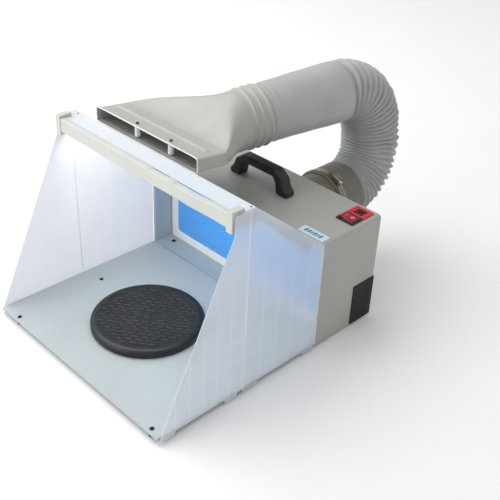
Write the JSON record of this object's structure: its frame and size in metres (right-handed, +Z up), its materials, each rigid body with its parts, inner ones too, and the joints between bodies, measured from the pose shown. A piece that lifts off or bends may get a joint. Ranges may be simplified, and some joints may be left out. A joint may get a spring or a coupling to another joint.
{
  "type": "portable airbrush spray booth",
  "caption": "Folding spray booth: steel fan cabinet with filter, tray with turntable, translucent wings and hood with light bar, and exhaust hose with a fishtail nozzle.",
  "frame": {"origin": "middle of the base of the object's bounding box, on the surface that the feet stand on", "axes": "+X to the user's right, +Y from the user to the back, +Z up"},
  "size_m": [0.4244, 0.7141, 0.3817],
  "materials": {
    "grey_steel": "fine textured grey powder coat",
    "reveal_steel": "blue-grey satin paint",
    "tray_steel": "light blue-grey satin paint",
    "black_plastic": "satin black moulded plastic",
    "red_plastic": "glossy red",
    "zinc": "bright zinc plate",
    "clamp_steel": "yellow passivated band steel",
    "dark_plastic": "dark grey soft plastic",
    "grey_plastic": "mid grey",
    "white_plastic": "white",
    "cream_plastic": "warm white",
    "filter_fibre": "bright blue non-woven fibre",
    "led_board": "white board with yellow LEDs",
    "circuit_board": "green solder mask",
    "plate_film": "pale printed film",
    "hose_plastic": "light grey soft plastic",
    "nozzle_plastic": "warm light grey moulded plastic",
    "wing_plastic": "translucent frosted sheet",
    "rubber": "matt black"
  },
  "bodies": {
    "cabinet": {"cabinet_shell": "grey_steel", "rear_panel": "grey_steel", "base_pan": "grey_steel", "motor_bracket": "grey_steel", "front_bezel": "reveal_steel", "carry_handle": "black_plastic", "rocker_bezel": "black_plastic", "socket_core": "black_plastic", "corner_cover": "black_plastic", "fan_shroud": "black_plastic", "socket_bezel": "red_plastic", "handle_screw_left": "zinc", "handle_screw_right": "zinc", "socket_pin": "zinc", "filter_guard": "zinc", "fan_motor": "zinc", "hose_clamp_band": "clamp_steel", "clamp_housing": "clamp_steel", "outlet_spigot": "dark_plastic", "hose_cuff": "dark_plastic", "mouth_post_left": "white_plastic", "mouth_post_right": "white_plastic", "control_board": "circuit_board", "nameplate": "plate_film", "duct_hose": "hose_plastic", "connector_tube": "hose_plastic", "fishtail_nozzle": "nozzle_plastic", "ledge_stud_left": "rubber", "ledge_stud_right": "rubber", "cover_bumper": "rubber", "cabinet_foot_left_front": "rubber", "cabinet_foot_left_rear": "rubber", "cabinet_foot_right_front": "rubber", "cabinet_foot_right_rear": "rubber"},
    "tray_unit": {"tray": "tray_steel", "tray_foot_front_left": "rubber", "tray_foot_front_right": "rubber", "tray_foot_side_left": "rubber", "tray_foot_side_right": "rubber", "turntable_base": "black_plastic", "turntable_bearing": "zinc", "turntable_spindle": "black_plastic"},
    "turntable": {"turntable_platter": "black_plastic"},
    "wing_left": {"wing_panel_left": "wing_plastic"},
    "wing_right": {"wing_panel_right": "wing_plastic"},
    "flap_left": {"wing_flap_left": "wing_plastic"},
    "flap_right": {"wing_flap_right": "wing_plastic"},
    "hood": {"hood_panel": "wing_plastic", "led_housing": "cream_plastic", "led_strip": "led_board", "led_diffuser": "white_plastic", "led_bracket_left": "cream_plastic", "led_bracket_right": "cream_plastic"},
    "filter": {"filter_frame": "white_plastic", "filter_pad": "filter_fibre"},
    "fan": {"fan_impeller": "grey_plastic", "fan_shaft": "zinc"},
    "rocker": {"rocker_key": "red_plastic"},
    "clamp_worm": {"clamp_screw": "zinc"}
  },
  "joints": [
    {"name": "tray_fold", "type": "hinge", "parent": "cabinet", "child": "tray_unit", "pos_m": [0, -0.0244, 0.0133], "axis": [-1, 0, 0], "range_deg": [0, 57]},
    {"name": "turntable_spin", "type": "hinge", "parent": "tray_unit", "child": "turntable", "pos_m": [-0.012, -0.1966, 0.013], "axis": [0, 0, 1], "continuous": true},
    {"name": "hood_fold", "type": "hinge", "parent": "cabinet", "child": "hood", "pos_m": [0, -0.0246, 0.204], "axis": [-1, 0, 0], "range_deg": [-70, 0]},
    {"name": "wing_swing_left", "type": "hinge", "parent": "cabinet", "child": "wing_left", "pos_m": [-0.2125, -0.0236, 0.15], "axis": [0, 0, -1], "range_deg": [0, 90]},
    {"name": "wing_swing_right", "type": "hinge", "parent": "cabinet", "child": "wing_right", "pos_m": [0.2125, -0.0236, 0.15], "axis": [0, 0, 1], "range_deg": [0, 90]},
    {"name": "flap_fold_left", "type": "hinge", "parent": "wing_left", "child": "flap_left", "pos_m": [-0.2125, -0.1906, 0.15], "axis": [0, 0, -1], "range_deg": [0, 150]},
    {"name": "flap_fold_right", "type": "hinge", "parent": "wing_right", "child": "flap_right", "pos_m": [0.2125, -0.1906, 0.15], "axis": [0, 0, 1], "range_deg": [0, 150]},
    {"name": "filter_tilt", "type": "hinge", "parent": "cabinet", "child": "filter", "pos_m": [0, 0.0164, 0.0133], "axis": [1, 0, 0], "range_deg": [0, 14]},
    {"name": "rocker_tilt", "type": "hinge", "parent": "cabinet", "child": "rocker", "pos_m": [0.18325, 0.0679, 0.204], "axis": [0, 1, 0], "range_deg": [0, 16]},
    {"name": "fan_spin", "type": "hinge", "parent": "cabinet", "child": "fan", "pos_m": [0.039, 0.0764, 0.141], "axis": [0, 1, 0], "continuous": true},
    {"name": "clamp_turn", "type": "hinge", "parent": "cabinet", "child": "clamp_worm", "pos_m": [0.06825, 0.1719, 0.19601], "axis": [0.8829, 0, -0.4695], "continuous": true}
  ]
}
